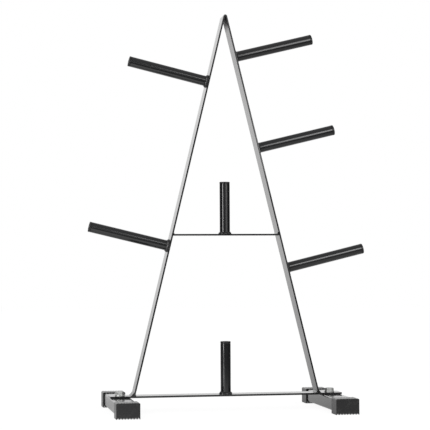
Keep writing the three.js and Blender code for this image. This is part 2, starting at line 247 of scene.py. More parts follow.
class Draft:
    """A mesh in the making: loops of points, the skins between them and the flat faces that close them."""

    def __init__(self) -> None:
        """Starts an empty mesh."""
        self.mesh = bmesh.new()

    def loop(self, points: Iterable[Vector]) -> VertexLoop:
        """Adds one loop of points."""
        return [self.mesh.verts.new(point) for point in points]

    def level(self, outline: Iterable[Vector], height: float) -> VertexLoop:
        """Adds a flat outline as a loop at one height."""
        return self.loop(Vector((*point, height)) for point in outline)

    def skin(self, loops: Sequence[VertexLoop], closed: bool = False, capped: bool = False) -> None:
        """Joins each loop to the next.

        Args:
            loops: Loops of the same length.
            closed: Whether the last loop is joined to the first.
            capped: Whether flat faces close the first loop and the last.
        """
        pairs = list(zip(loops, loops[1:]))
        if closed:
            pairs.append((loops[-1], loops[0]))
        for first, second in pairs:
            for index in range(len(first)):
                after = (index + 1) % len(first)
                self.mesh.faces.new((first[index], first[after], second[after], second[index]))
        if capped:
            self.close(loops[0])
            self.close(loops[-1])

    def close(self, *loops: VertexLoop) -> None:
        """Fills a flat face.

        Args:
            *loops: The face's outline, then whatever is cut out of it.
        """
        if len(loops) == 1:
            self.mesh.faces.new(loops[0])
            return
        pairs = [(loop[index - 1], vertex) for loop in loops for index, vertex in enumerate(loop)]
        edges = [self.mesh.edges.get(pair) for pair in pairs]
        bmesh.ops.triangle_fill(self.mesh, use_beauty=True, edges=edges)

    def turned(self, profile: Sequence[Vector], steps: int, closed: bool = False) -> "Draft":
        """Turns a profile about Z.

        Args:
            profile: Points of radius and height.
            steps: How many flats go round.
            closed: Whether the profile closes on itself; otherwise flat faces close both its ends.

        Returns:
            This draft.
        """
        loops = [self.level(circle(point.x, steps), point.y) for point in profile]
        self.skin(loops, closed, capped=not closed)
        return self

    def side(self, outline: Sequence[Vector], low: float, high: float, rim: float) -> list[VertexLoop]:
        """Adds the loops up the side of a flat shape, with a rounded rim at both ends.

        Args:
            outline: The points, anticlockwise round material or clockwise round a hole in it.
            low: Where the side starts.
            high: Where it ends.
            rim: Radius of the rims.

        Returns:
            The loops, from low to high.
        """
        loops: list[VertexLoop] = []
        for step in range(RIM_STEPS + 1):
            turn = QUARTER * step / RIM_STEPS
            edge = inset(outline, rim * (1 - math.sin(turn)))
            rise = rim * (1 - math.cos(turn))
            loops.insert(step, self.level(edge, low + rise))
            loops.insert(step + 1, self.level(edge, high - rise))
        return loops

    def prism(self, outlines: Sequence[Sequence[Vector]], low: float, high: float, rim: float) -> "Draft":
        """Extrudes a flat shape along Z.

        Args:
            outlines: The shape's outline, anticlockwise, then any holes in it, clockwise.
            low: Where the prism starts.
            high: Where it ends.
            rim: Radius of the rims.

        Returns:
            This draft.
        """
        sides = [self.side(outline, low, high, rim) for outline in outlines]
        for loops in sides:
            self.skin(loops)
        self.close(*(loops[0] for loops in sides))
        self.close(*(loops[-1] for loops in sides))
        return self

    def put(self, name: str, finish: "Finish", place: Matrix | None = None) -> Piece:
        """Turns the draft into an object.

        Args:
            name: The object's name.
            finish: What it is finished in.
            place: Where the draft's own axes stand in the rack's frame.

        Returns:
            The object.
        """
        if place is not None:
            self.mesh.transform(place)
        bmesh.ops.recalc_face_normals(self.mesh, faces=self.mesh.faces)
        data = bpy.data.meshes.new(name)
        self.mesh.to_mesh(data)
        self.mesh.free()
        data.materials.append(finish.material())
        return placed(name, data)

    def make(self, name: str, finish: "Finish", node: str, place: Matrix | None = None) -> None:
        """Turns the draft into a finished piece that stands for a node of the frame."""
        dress(self.put(name, finish, place), finish, node)


# Shader groups that several finishes share


class Graph:
    """Adds nodes to a shader tree, and links or sets their sockets."""

    def __init__(self, tree: bpy.types.NodeTree) -> None:
        """Starts from an empty tree."""
        self.tree = tree
        self.tree.nodes.clear()

    def add(self, kind: str, sockets: Sockets | None = None, **settings: object) -> bpy.types.Node:
        """Adds a node.

        Args:
            kind: Blender's name for the kind of node.
            sockets: For each input, by name or number, its value or the output that feeds it.
            **settings: The node's own settings.

        Returns:
            The node.
        """
        node = self.tree.nodes.new(kind)
        for setting, value in settings.items():
            setattr(node, setting, value)
        for key, value in (sockets or {}).items():
            if isinstance(value, Socket):
                self.tree.links.new(value, node.inputs[key])
            else:
                node.inputs[key].default_value = value
        return node

    @cached_property
    def where(self) -> Socket:
        """The place in the piece's own coordinates, which are the rack's as it stands at rest."""
        return self.add("ShaderNodeTexCoord").outputs["Object"]

    def axes(self, vector: Socket) -> Outputs:
        """Splits a vector into X, Y and Z."""
        return self.add("ShaderNodeSeparateXYZ", {"Vector": vector}).outputs

    def maths(self, operation: str, *values: Value) -> Socket:
        """Adds a Math node and returns its output."""
        return self.add("ShaderNodeMath", dict(enumerate(values)), operation=operation).outputs[0]

    def product(self, *values: Value) -> Socket:
        """Multiplies values in order."""
        return reduce(lambda first, second: self.maths("MULTIPLY", first, second), values)

    def raised(self, value: Value, *steps: tuple[Value, Value]) -> Socket:
        """Raises a value by steps, each a mask and the amount that a full mask adds."""
        return reduce(lambda total, step: self.maths("MULTIPLY_ADD", *step, total), steps, value)

    def apart(self, value: Socket, other: float) -> Socket:
        """Gives how far a value is from another."""
        return self.maths("ABSOLUTE", self.maths("SUBTRACT", value, other))

    def ramp(self, value: Value, start: float, end: float, low: float = 0.0, high: float = 1.0) -> Socket:
        """Maps a value smoothly, so that start becomes low and end becomes high, and stays between them."""
        sockets = {"Value": value, "From Min": start, "From Max": end, "To Min": low, "To Max": high}
        return self.add("ShaderNodeMapRange", sockets, interpolation_type="SMOOTHSTEP").outputs["Result"]

    def noise(self, scale: Value, detail: float, stretch: Place = (1, 1, 1)) -> Socket:
        """Adds fractal noise.

        Args:
            scale: How many features there are to a metre.
            detail: How many finer layers it has.
            stretch: How much the place is scaled along each axis first.

        Returns:
            The noise value, about half on average.
        """
        scaled = self.add("ShaderNodeVectorMath", {0: self.where, 1: stretch}, operation="MULTIPLY")
        sockets = {"Vector": scaled.outputs[0], "Scale": scale, "Detail": detail}
        return self.add("ShaderNodeTexNoise", sockets).outputs["Fac"]

    def blend(self, share: Value, first: Colour, second: Colour) -> Socket:
        """Mixes two colours and returns the result."""
        sockets = {"Factor": share, MIX_FIRST: (*first, 1), MIX_SECOND: (*second, 1)}
        return self.add("ShaderNodeMix", sockets, data_type="RGBA").outputs[MIX_RESULT]

    def bump(self, height: Socket, strength: float, depth: float) -> Socket:
        """Adds a bump and returns its normal."""
        sockets = {"Height": height, "Strength": strength, "Distance": depth}
        return self.add("ShaderNodeBump", sockets).outputs["Normal"]

    def principled(self, sockets: Sockets) -> Socket:
        """Adds a Principled BSDF and returns its shader."""
        return self.add("ShaderNodeBsdfPrincipled", sockets).outputs["BSDF"]

    def glow(self, strength: Socket) -> Socket:
        """Adds a white emission and returns its shader."""
        return self.add("ShaderNodeEmission", {"Strength": strength}).outputs["Emission"]

    def group(self, group: "ShaderGroup", sockets: Sockets | None = None) -> Outputs:
        """Places a shared group and returns its outputs."""
        return self.add("ShaderNodeGroup", sockets, node_tree=group.tree()).outputs


@dataclass(frozen=True)
class ShaderGroup:
    """A shader node group with named inputs and outputs, built once and shared."""

    name: str
    inputs: dict[str, float]
    outputs: tuple[str, ...]

    def tree(self) -> bpy.types.ShaderNodeTree:
        """Builds the group the first time it is asked for.

        Returns:
            The group.
        """
        found = bpy.data.node_groups.get(self.name)
        if found:
            return found
        tree = bpy.data.node_groups.new(self.name, "ShaderNodeTree")
        for name, value in self.inputs.items():
            socket = tree.interface.new_socket(name, in_out="INPUT", socket_type="NodeSocketFloat")
            socket.default_value = value
        for name in self.outputs:
            tree.interface.new_socket(name, in_out="OUTPUT", socket_type="NodeSocketFloat")
        graph = Graph(tree)
        graph.add("NodeGroupOutput", self.wire(graph, graph.add("NodeGroupInput").outputs))
        return tree

    def wire(self, graph: Graph, given: Outputs) -> dict[str, Socket]:
        """Adds the group's nodes, fed by what it is given, and returns what feeds each of its outputs."""
        raise NotImplementedError


@dataclass(frozen=True)
class SurfaceGrain(ShaderGroup):
    """The fine skin of a sprayed or moulded surface: its soft waves, and the specks in it."""

    name: str = "surface grain"
    inputs: dict[str, float] = field(default_factory=lambda: {"Scale": 700.0, "Speck share": 0.2})
    outputs: tuple[str, ...] = ("Height", "Specks")
    wave_detail: float = 2.0
    speck_fineness: float = 3.1
    speck_span: Span = (0.45, 0.15)
    speck_height: float = 0.25

    def wire(self, graph: Graph, given: Outputs) -> dict[str, Socket]:
        """Adds soft noise for the skin and small cells for the specks.

        Args:
            graph: The group's own graph.
            given: The group's inputs.

        Returns:
            The skin's height and the mask of its specks.
        """
        waves = graph.noise(given["Scale"], self.wave_detail)
        fine = graph.product(given["Scale"], self.speck_fineness)
        cells = graph.add("ShaderNodeTexVoronoi", {"Vector": graph.where, "Scale": fine}).outputs
        chance = graph.add("ShaderNodeSeparateColor", {"Color": cells["Color"]}).outputs["Red"]
        picked = graph.maths("LESS_THAN", chance, given["Speck share"])
        specks = graph.product(graph.ramp(cells["Distance"], *self.speck_span), picked)
        return {"Height": graph.raised(waves, (specks, self.speck_height)), "Specks": specks}


@dataclass(frozen=True)
class HandlingMarks(ShaderGroup):
    """The faint dulling that handling leaves: soft patches, with hairlines through them."""

    name: str = "handling marks"
    inputs: dict[str, float] = field(default_factory=lambda: {"Scale": 24.0})
    outputs: tuple[str, ...] = ("Marks",)
    patch_detail: float = 4.0
    patch_span: Span = (0.46, 0.72)
    patch_share: float = 0.45
    hair_detail: float = 6.0
    hair_span: Span = (0.60, 0.74)
    long_hairs: Place = (3, 60, 3)
    cross_hairs: Place = (40, 3, 25)

    def wire(self, graph: Graph, given: Outputs) -> dict[str, Socket]:
        """Adds broad patches and multiplies them by stretched hairlines.

        Args:
            graph: The group's own graph.
            given: The group's inputs.

        Returns:
            The mask of the marks.
        """
        patches = graph.ramp(graph.noise(given["Scale"], self.patch_detail), *self.patch_span)
        along = graph.noise(given["Scale"], self.hair_detail, self.long_hairs)
        across = graph.noise(given["Scale"], self.hair_detail, self.cross_hairs)
        hairs = graph.ramp(graph.maths("MAXIMUM", along, across), *self.hair_span)
        both = graph.product(patches, graph.maths("ADD", self.patch_share, hairs))
        return {"Marks": graph.maths("MINIMUM", both, 1.0)}


@dataclass(frozen=True)
class SettledDust(ShaderGroup):
    """The thin dust that settles on what faces up."""

    name: str = "settled dust"
    inputs: dict[str, float] = field(default_factory=lambda: {"Scale": 160.0})
    outputs: tuple[str, ...] = ("Dust",)
    facing_span: Span = (0.35, 0.95)
    uneven_detail: float = 5.0
    uneven_span: Span = (0.38, 0.74)

    def wire(self, graph: Graph, given: Outputs) -> dict[str, Socket]:
        """Multiplies how far the surface faces up by uneven noise.

        Args:
            graph: The group's own graph.
            given: The group's inputs.

        Returns:
            The mask of the dust.
        """
        normal = graph.add("ShaderNodeNewGeometry").outputs["Normal"]
        facing = graph.ramp(graph.axes(normal)["Z"], *self.facing_span)
        uneven = graph.ramp(graph.noise(given["Scale"], self.uneven_detail), *self.uneven_span)
        return {"Dust": graph.product(facing, uneven)}


GRAIN = SurfaceGrain()
MARKS = HandlingMarks()
DUST = SettledDust()


# Finishes


@dataclass(frozen=True)
class Finish:
    """A finish, whose material is built once and then shared."""

    name: str
    slot: str = ""

    def material(self) -> bpy.types.Material:
        """Builds the material the first time it is asked for.

        Returns:
            The material.
        """
        found = bpy.data.materials.get(self.name)
        if found:
            return found
        material = bpy.data.materials.new(self.name)
        material.use_nodes = True
        graph = Graph(material.node_tree)
        graph.add("ShaderNodeOutputMaterial", {"Surface": self.surface(graph)})
        return material

    def surface(self, graph: Graph) -> Socket:
        """Adds the finish's nodes to its material's graph and returns the shader's output."""
        raise NotImplementedError


@dataclass(frozen=True)
class CoatedSteel(Finish):
    """Black powder coat baked on steel: a deep colour under a glossy skin with faint orange peel."""

    name: str = "glossy black coat"
    slot: str = "black_coat"
    colour: Colour = (0.0085, 0.0088, 0.0094)
    dust_colour: Colour = (0.10, 0.10, 0.10)
    roughness: float = 0.16
    speck_roughness: float = 0.04
    mark_roughness: float = 0.05
    dust_roughness: float = 0.05
    dust_cover: float = 0.05
    coat: float = 0.55
    coat_roughness: float = 0.05
    grain_scale: float = 620.0
    peel_strength: float = 0.10
    peel_depth: float = 0.00015

    def skin(self, graph: Graph, rough: Socket) -> tuple[Value, Socket]:
        """Settles what the coat weight takes, and what roughness lies under the glossy skin."""
        return self.coat, rough

    def surface(self, graph: Graph) -> Socket:
        """Adds the coat's nodes.

        Args:
            graph: The material's graph.

        Returns:
            The shader's output.
        """
        grain = graph.group(GRAIN, {"Scale": self.grain_scale})
        marks = graph.group(MARKS)["Marks"]
        dust = graph.group(DUST)["Dust"]
        colour = graph.blend(graph.product(dust, self.dust_cover), self.colour, self.dust_colour)
        steps = (
            (grain["Specks"], self.speck_roughness),
            (marks, self.mark_roughness),
            (dust, self.dust_roughness),
        )
        coat, rough = self.skin(graph, graph.raised(self.roughness, *steps))
        sockets = {
            "Base Color": colour,
            "Roughness": rough,
            "Normal": graph.bump(grain["Height"], self.peel_strength, self.peel_depth),
            "Coat Weight": coat,
            "Coat Roughness": self.coat_roughness,
        }
        return graph.principled(sockets)


@dataclass(frozen=True, kw_only=True)
class FoldedCoat(CoatedSteel):
    """The coat on the folded bar, thin and dull inside the fold, where the spray hardly reaches.

    A slight haze goes on a good way down between the legs.
    """

    name: str = "glossy black coat with a dull fold"
    centre_x: float
    dull_level: float
    dull_fade: float = 0.034
    fold_level: float
    fold_fade: float = 0.002
    middle_half: float
    lean: float
    wall_fade: float = 0.001
    dull_roughness: float = 0.45
    haze_reach: float = 0.30
    haze_share: float = 0.24

    def skin(self, graph: Graph, rough: Socket) -> tuple[Socket, Socket]:
        """Takes the glossy skin away between the legs just under the fold.

        Args:
            graph: The material's graph.
            rough: The roughness that grain, marks and dust give.

        Returns:
            What the coat weight takes, and what the roughness takes.
        """
        place = graph.axes(graph.where)
        middle = graph.raised(self.middle_half, (place["Z"], -self.lean))
        gap = graph.maths("SUBTRACT", middle, graph.apart(place["X"], self.centre_x))
        inside = graph.ramp(gap, 0.0, self.wall_fade)
        high = graph.ramp(place["Z"], self.dull_level, self.dull_level + self.dull_fade)
        haze_level = self.fold_level - self.haze_reach
        haze = graph.ramp(place["Z"], haze_level, self.fold_level, 0.0, self.haze_share)
        thin = graph.maths("MINIMUM", graph.maths("ADD", high, haze), 1.0)
        under = graph.ramp(place["Z"], self.fold_level + self.fold_fade, self.fold_level)
        dull = graph.product(inside, thin, under)
        step = graph.maths("SUBTRACT", self.dull_roughness, rough)
        return graph.raised(self.coat, (dull, -self.coat)), graph.raised(rough, (dull, step))


@dataclass(frozen=True)
class MouldedPlastic(Finish):
    """Moulded plastic: a grained skin, scuffed a little paler where it is handled."""

    name: str = "moulded plastic"
    slot: str = "cap_plastic"
    colour: Colour = (0.017, 0.017, 0.0175)
    scuff_colour: Colour = (0.075, 0.075, 0.074)
    scuff_cover: float = 0.30
    roughness: float = 0.25
    mark_roughness: float = 0.12
    mark_scale: float = 60.0
    grain_scale: float = 900.0
    grain_strength: float = 0.35
    grain_depth: float = 0.0002
    speck_share: float = 0.5

    def surface(self, graph: Graph) -> Socket:
        """Adds the plastic's nodes.

        Args:
            graph: The material's graph.

        Returns:
            The shader's output.
        """
        grain = graph.group(GRAIN, {"Scale": self.grain_scale, "Speck share": self.speck_share})
        marks = graph.group(MARKS, {"Scale": self.mark_scale})["Marks"]
        dust = graph.group(DUST)["Dust"]
        cover = graph.product(graph.maths("MAXIMUM", marks, dust), self.scuff_cover)
        sockets = {
            "Base Color": graph.blend(cover, self.colour, self.scuff_colour),
            "Roughness": graph.raised(self.roughness, (marks, self.mark_roughness)),
            "Normal": graph.bump(grain["Height"], self.grain_strength, self.grain_depth),
        }
        return graph.principled(sockets)


@dataclass(frozen=True)
class ZincPlate(Finish):
    """Bright zinc plate, with the cloudy crystals and fine draw lines of a plated fastener."""

    name: str = "bright zinc plate"
    slot: str = "zinc_plate"
    colour: Colour = (0.86, 0.87, 0.85)
    cloud_colour: Colour = (0.70, 0.71, 0.70)
    metallic: float = 0.9
    roughness: float = 0.52
    cloud_roughness: float = 0.10
    cloud_scale: float = 420.0
    cloud_detail: float = 3.0
    cloud_span: Span = (0.40, 0.66)
    grain_scale: float = 1500.0
    grain_strength: float = 0.12
    grain_depth: float = 0.0001

    def surface(self, graph: Graph) -> Socket:
        """Adds the plate's nodes.

        Args:
            graph: The material's graph.

        Returns:
            The shader's output.
        """
        grain = graph.group(GRAIN, {"Scale": self.grain_scale})
        clouds = graph.ramp(graph.noise(self.cloud_scale, self.cloud_detail), *self.cloud_span)
        sockets = {
            "Base Color": graph.blend(clouds, self.colour, self.cloud_colour),
            "Roughness": graph.raised(self.roughness, (clouds, self.cloud_roughness)),
            "Normal": graph.bump(grain["Height"], self.grain_strength, self.grain_depth),
            "Metallic": self.metallic,
        }
        return graph.principled(sockets)


COAT = CoatedSteel()
WELD_COAT = CoatedSteel(
    "coated weld bead", "coated_weld", roughness=0.22, grain_scale=900.0, peel_strength=0.25
)
CAP_PLASTIC = MouldedPlastic("charcoal cap plastic")
PLUG_PLASTIC = MouldedPlastic(
    "black plug plastic",
    "plug_plastic",
    colour=(0.014, 0.014, 0.0145),
    scuff_colour=(0.05, 0.05, 0.05),
    roughness=0.34,
    grain_strength=0.2,
)
ZINC = ZincPlate()


# The welded frame


@dataclass
class AFrame:
    """The one flat bar that makes both legs, folded over at the apex."""

    thickness: float = 0.004
    fold_radius: float = 0.0006
    edge_radius: float = 0.0003
    edge_steps: int = 3
    fold_steps: int = 48
    dull_reach: float = 0.040

    def __post_init__(self) -> None:
        """Reads the bar's place from the frame, and works out how far the legs lean."""
        box = NodeBox("a_frame_bar")
        outer_radius = self.fold_radius + self.thickness
        self.centre_x = box.middle.x
        self.depth = box.size.y
        self.half_span = box.size.x / 2
        self.foot_level = box.low.z
        self.fold_level = box.high.z - outer_radius
        rise = self.fold_level - self.foot_level
        reach = math.hypot(self.half_span, rise)
        self.tilt = math.acos(outer_radius / reach) - math.atan2(rise, self.half_span)
        self.lean = math.tan(self.tilt)
        self.wall = self.thickness / math.cos(self.tilt)

    def inner_half(self, level: float) -> float:
        """Half the clear width between the legs at a level above the floor."""
        return self.half_span - (level - self.foot_level) * self.lean - self.wall

    def section(self) -> list[Place]:
        """The bar's section: for each point, its radius from the fold's middle, and its place across."""
        points = rounded_rectangle(self.thickness, self.depth, self.edge_radius, self.edge_steps)
        return [(self.fold_radius + self.thickness / 2 + through, across) for through, across in points]

    def row(self, turn: float, at_foot: bool = False) -> list[Vector]:
        """The section's points at one place along the bar.

        Args:
            turn: The angle from +X round the fold.
            at_foot: Whether to follow the leg that starts there down to where it is cut off level.

        Returns:
            The points.
        """
        points = []
        for radius, across in self.section():
            reach, level = radius * math.cos(turn), self.fold_level + radius * math.sin(turn)
            if at_foot:
                reach += math.copysign((level - self.foot_level) * self.lean, reach)
                level = self.foot_level
            points.append(Vector((self.centre_x + reach, across, level)))
        return points

    def build(self) -> None:
        """Makes the bar as one skin from foot to foot."""
        draft = Draft()
        sweep = math.pi - 2 * self.tilt
        turns = [self.tilt + sweep * step / self.fold_steps for step in range(self.fold_steps + 1)]
        rows = [self.row(turns[0], at_foot=True), *map(self.row, turns), self.row(turns[-1], at_foot=True)]
        draft.skin([draft.loop(row) for row in rows], capped=True)
        finish = FoldedCoat(
            centre_x=self.centre_x,
            dull_level=self.fold_level - self.dull_reach,
            fold_level=self.fold_level + self.fold_radius,
            middle_half=self.half_span + self.foot_level * self.lean - self.wall / 2,
            lean=self.lean,
        )
        draft.make("a_frame_folded_bar", finish, "a_frame_bar")


@dataclass
class Crossbars:
    """The upper crossbar between the legs, and the base bar under them."""

    legs: AFrame
    corner_radius: float = 0.0015
    corner_steps: int = 6

    def build(self) -> None:
        """Makes both bars."""
        self.build_upper()
        self.build_base()

    def build_upper(self) -> None:
        """Makes the upper crossbar, with its ends cut to the slant of the legs."""
        box = NodeBox("upper_crossbar")
        gap = HIDDEN_SEAT / math.cos(self.legs.tilt)
        section = rounded_rectangle(box.size.z, box.size.y, self.legs.edge_radius, self.legs.edge_steps)
        draft = Draft()
        loops = []
        for side in Side:
            points = []
            for rise, across in section:
                level = box.middle.z + rise
                reach = side.value * (self.legs.inner_half(level) - gap)
                points.append(Vector((self.legs.centre_x + reach, across, level)))
            loops.append(draft.loop(points))
        draft.skin(loops, capped=True)
        draft.make("upper_crossbar_flat", COAT, "upper_crossbar")

    def build_base(self) -> None:
        """Makes the base bar, with a bolt hole over each foot."""
        box = NodeBox("base_bar")
        outlines = [rounded_rectangle(box.size.x, box.size.y, self.corner_radius, self.corner_steps)]
        for side in Side:
            hole_x = NodeBox(f"{side.word}_foot_bolt").middle.x - self.legs.centre_x
            outlines.append(circle(BOLT_HOLE_RADIUS, BOLT_STEPS, hole_x)[::-1])
        draft = Draft().prism(outlines, box.low.z, box.high.z, self.legs.edge_radius)
        draft.make("base_bar_flat", COAT, "base_bar", Matrix.Translation((self.legs.centre_x, 0, 0)))


# Weld beads


@dataclass(frozen=True)
class Seam:
    """The corner of two faces that a bead joins, with the direction of each face away from it."""

    corner: Vector
    along: Vector
    up: Vector


@dataclass(frozen=True)
class Bead:
    """A weld bead in the corner of two faces, laid in overlapping ripples."""

    width: float
    height: float
    seed: int
    crown: Crown = Crown.FULL
    crown_steps: int = 7
    ripple_pitch: float = 0.0027
    ripple_depth: float = 0.13
    ripple_bow: float = 0.45
    ripple_steps: int = 6
    wander: float = 0.07
    wander_turns: tuple[int, ...] = (1, 2, 3, 5)
    end_share: float = 0.45

    def wave(self) -> Callable[[float], float]:
        """Makes the slow, uneven swelling that a hand-laid bead has.

        Returns:
            A function of the share of the way along, which gives a factor near one and meets itself.
        """
        chance = random.Random(self.seed)
        layers = [(turns, chance.uniform(0, math.tau), self.wander / turns) for turns in self.wander_turns]

        def factor(share: float) -> float:
            """Gives the factor at a share of the way along."""
            swings = (depth * math.sin(math.tau * turns * share + phase) for turns, phase, depth in layers)
            return 1 - self.wander + sum(swings) / 2

        return factor

    def section(self, seam: Seam, swell: float, ripples: float) -> list[Vector]:
        """Draws the bead's section at one place.

        Args:
            seam: The corner that it fills.
            swell: How large the bead is here, against its named size.
            ripples: How many ripples lie before this place.

        Returns:
            The heel of the bead, then its face from one toe to the other.
        """
        sine = abs(seam.along.x * seam.up.y - seam.along.y * seam.up.x)
        heel = seam.corner + (seam.along + seam.up) * HIDDEN_SEAT / sine
        points = [heel]
        for step in range(self.crown_steps + 1):
            share = step / self.crown_steps
            turn = share * QUARTER
            phase = ripples + self.ripple_bow * (2 * share - 1) ** 2
            size = swell * (1 - self.ripple_depth * (1 - abs(math.sin(math.pi * phase))))
            out = self.width * size * max(math.cos(turn), 0) ** self.crown.value
            rise = self.height * size * math.sin(turn) ** self.crown.value
            points.append(heel + seam.along * out + seam.up * rise)
        return points

    def round_tube(self, holder: str, radius: float, place: Matrix) -> None:
        """Lays the bead round the foot of a tube.

        Args:
            holder: The name of the plate holder that the tube is.
            radius: The tube's radius.
            place: Where the tube's foot stands, with Z along the tube.
        """
        seam = Seam(Vector((radius, 0)), Vector((1, 0)), Vector((0, 1)))
        count = round(math.tau * (radius + self.width / 2) / self.ripple_pitch)
        factor = self.wave()
        draft = Draft()
        loops = []
        for step in range(count * self.ripple_steps):
            ripples = step / self.ripple_steps
            spin = Matrix.Rotation(math.tau * ripples / count, 3, "Z")
            points = self.section(seam, factor(ripples / count), ripples)
            loops.append(draft.loop(spin @ Vector((point.x, 0, point.y)) for point in points))
        draft.skin(loops, closed=True)
        draft.make(f"{holder}_bead", WELD_COAT, f"{holder}_weld", place)

    def along_joint(self, node: str, seam: Seam, taper: float) -> None:
        """Lays the bead along a joint that runs front to back.

        Args:
            node: The frame's node that it stands for, which gives where the joint starts and ends.
            seam: The corner that it fills, in X and Z.
            taper: How far each end of the bead takes to reach full size.
        """
        box = NodeBox(node)
        length = box.size.y
        count = round(length / self.ripple_pitch) * self.ripple_steps
        factor = self.wave()
        draft = Draft()
        loops = []
        for step in range(count + 1):
            share = step / count
            inside = min(min(share, 1 - share) * length / taper, 1)
            swell = factor(share) * (self.end_share + (1 - self.end_share) * math.sin(inside * QUARTER))
            points = self.section(seam, swell, step / self.ripple_steps)
            across = box.low.y + share * length
            loops.append(draft.loop(Vector((point.x, across, point.y)) for point in points))
        draft.skin(loops, capped=True)
        draft.make(f"{node}_bead", WELD_COAT, node)


@dataclass
class FrameWelds:
    """The straight beads where the legs meet the base bar and the upper crossbar."""

    legs: AFrame
    outer_size: Span = (0.0065, 0.010)
    outer_seed: int = 11
    inner_size: Span = (0.0035, 0.0045)
    inner_seed: int = 21
    crossbar_size: Span = (0.0038, 0.005)
    crossbar_seed: int = 31
    ripple_depth: float = 0.03
    taper: float = 0.004

    def build(self) -> None:
        """Lays all six beads."""
        legs = self.legs
        crossbar_top = NodeBox("upper_crossbar").high.z
        reach = legs.inner_half(legs.foot_level)
        for side in Side:
            sign = side.value
            up = Vector((-sign * math.sin(legs.tilt), math.cos(legs.tilt)))
            top = (legs.inner_half(crossbar_top), crossbar_top)
            rows = (
                ("leg_outer", self.outer_size, self.outer_seed, reach + legs.wall, legs.foot_level, sign),
                ("leg_inner", self.inner_size, self.inner_seed, reach, legs.foot_level, -sign),
                ("crossbar", self.crossbar_size, self.crossbar_seed, *top, -sign),
            )
            for part, size, seed, half, level, outward in rows:
                bead = Bead(*size, seed + sign, Crown.HOLLOW, ripple_depth=self.ripple_depth)
                seam = Seam(Vector((legs.centre_x + sign * half, level)), Vector((outward, 0)), up)
                bead.along_joint(f"{side.word}_{part}_weld", seam, self.taper)


# Pegs and posts


@dataclass
class PlateHolder:
    """A round tube that plates slide onto, with the bead at its foot and the plug in its end."""

    name: str
    seed: int
    tube_length: float
    radius: float = 0.0125
    wall: float = 0.0015
    rim_radius: float = 0.0003
    flange: float = 0.005
    flange_edge: float = 0.0014
    dish_radius: float = 0.0078
    dish_depth: float = 0.0007
    stem_length: float = 0.016
    stem_clearance: float = 0.0011
    stem_wall: float = 0.0022
    barb_spacing: float = 0.0048
    barb_count: int = 3
    weld_width: float = 0.0036
    weld_height: float = 0.0055

    def __post_init__(self) -> None:
        """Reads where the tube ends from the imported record, and works back to its foot."""
        mount = next(each for each in frame["record"]["mounts"] if each["name"] == f"{self.name}_end")
        axis = Vector(mount["axis"]).normalized()
        self.tube_end = HIDDEN_SEAT + self.tube_length
        foot = Vector(mount["pos_m"]) - axis * (self.tube_end + HIDDEN_SEAT + self.flange)
        self.place = Matrix.Translation(foot) @ axis.to_track_quat("Z", "Y").to_matrix().to_4x4()

    def build(self) -> None:
        """Makes the tube, its bead and its plug."""
        self.build_tube()
        Bead(self.weld_width, self.weld_height, self.seed).round_tube(self.name, self.radius, self.place)
        self.build_plug()

    def build_tube(self) -> None:
        """Makes the tube, with softened ends."""
        levels, rims = (HIDDEN_SEAT, self.tube_end), (self.rim_radius, self.rim_radius)
        section = ring(self.radius - self.wall, self.radius, levels, rims)
        draft = Draft().turned(section, ROUND_STEPS, closed=True)
        draft.make(f"{self.name}_tube", COAT, self.name, self.place)

    def build_plug(self) -> None:
        """Makes the push-in plug: a dished flange, and a hollow stem with gripping rings."""
        seat = self.tube_end + HIDDEN_SEAT
        top = seat + self.flange
        bore, rim = self.radius - self.wall, self.rim_radius
        stem = bore - self.stem_clearance
        hollow = stem - self.stem_wall
        tip = seat - self.stem_length
        corners = [
            Corner(hollow - rim, seat - self.stem_wall),
            Corner(hollow, seat - self.stem_wall),
            Corner(hollow, tip),
            Corner(stem, tip, rim),
        ]
        for barb in range(self.barb_count, 0, -1):
            level = seat - barb * self.barb_spacing
            corners += [Corner(bore - HIDDEN_SEAT, level), Corner(stem, level + rim)]
        corners += [
            Corner(stem, seat),
            Corner(self.radius - rim, seat),
            Corner(self.radius, seat + rim),
            Corner(self.radius, top, self.flange_edge),
            Corner(self.dish_radius, top, rim),
            Corner(self.dish_radius - self.dish_depth, top - self.dish_depth, rim),
            Corner(rim, top - self.dish_depth),
        ]
        draft = Draft().turned(rounded(corners, closed=False), ROUND_STEPS)
        draft.make(f"{self.name}_end_plug", PLUG_PLASTIC, f"{self.name}_plug", self.place)


# Feet


